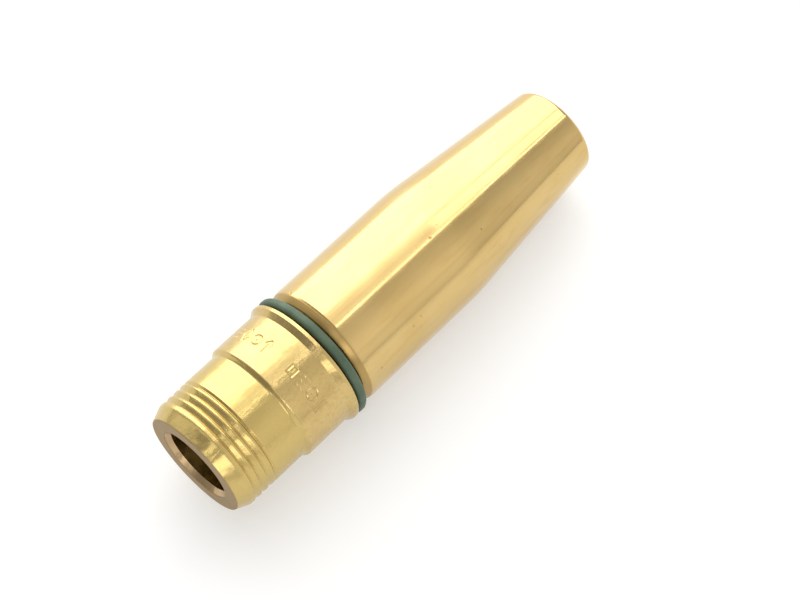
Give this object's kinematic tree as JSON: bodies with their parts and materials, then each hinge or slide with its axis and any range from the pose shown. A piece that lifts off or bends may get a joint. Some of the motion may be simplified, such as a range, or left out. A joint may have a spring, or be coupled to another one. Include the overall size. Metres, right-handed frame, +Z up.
{
  "type": "oil burner nozzle",
  "caption": "Turned brass oil burner nozzle: ridged inlet spigot, O-ring collar and long tapered spray barrel, with strainer, anti-drip valve and swirl tip inside.",
  "frame": {"origin": "centre of the inlet end face, on the nozzle's axis", "axes": "+X along the axis from the inlet face to the spray tip; +Z up with the nozzle lying on its side"},
  "size_m": [0.0893, 0.0248, 0.0248],
  "materials": {
    "satin_brass": "satin brass, tumbled and lightly scratched, with a slight green-yellow cast",
    "polished_brass": "fine-turned and polished brass",
    "turned_brass": "fine-turned brass with tool marks",
    "green_rubber": "matt green elastomer",
    "black_rubber": "matt black elastomer",
    "spring_steel": "drawn spring steel",
    "strainer_gauze": "woven stainless wire gauze",
    "stainless": "ground stainless steel",
    "copper": "annealed copper"
  },
  "bodies": {
    "nozzle": {"inlet_body": "satin_brass", "barrel": "polished_brass", "body_o_ring": "green_rubber", "strainer_snap_ring": "spring_steel", "strainer_frame": "turned_brass", "strainer_mesh": "strainer_gauze", "strainer_cap": "turned_brass", "tail_washer": "copper", "valve_cage": "turned_brass", "cage_o_ring": "black_rubber", "valve_seat": "stainless", "seat_gasket": "copper", "closing_spring": "spring_steel", "spring_retainer": "turned_brass", "retainer_clip": "spring_steel", "distributor_lock_screw": "turned_brass", "swirl_distributor": "stainless", "orifice_disc": "stainless", "nose_gasket": "copper"},
    "poppet_valve": {"poppet": "stainless", "poppet_seal": "black_rubber", "poppet_seal_nut": "turned_brass"}
  },
  "joints": [
    {"name": "poppet_slide", "type": "slide", "parent": "nozzle", "child": "poppet_valve", "axis": [1, 0, 0], "range_m": [0, 0.0012], "stiffness_N_per_m": 1900, "springref_m": -0.0012, "deforming": ["closing_spring"]}
  ]
}
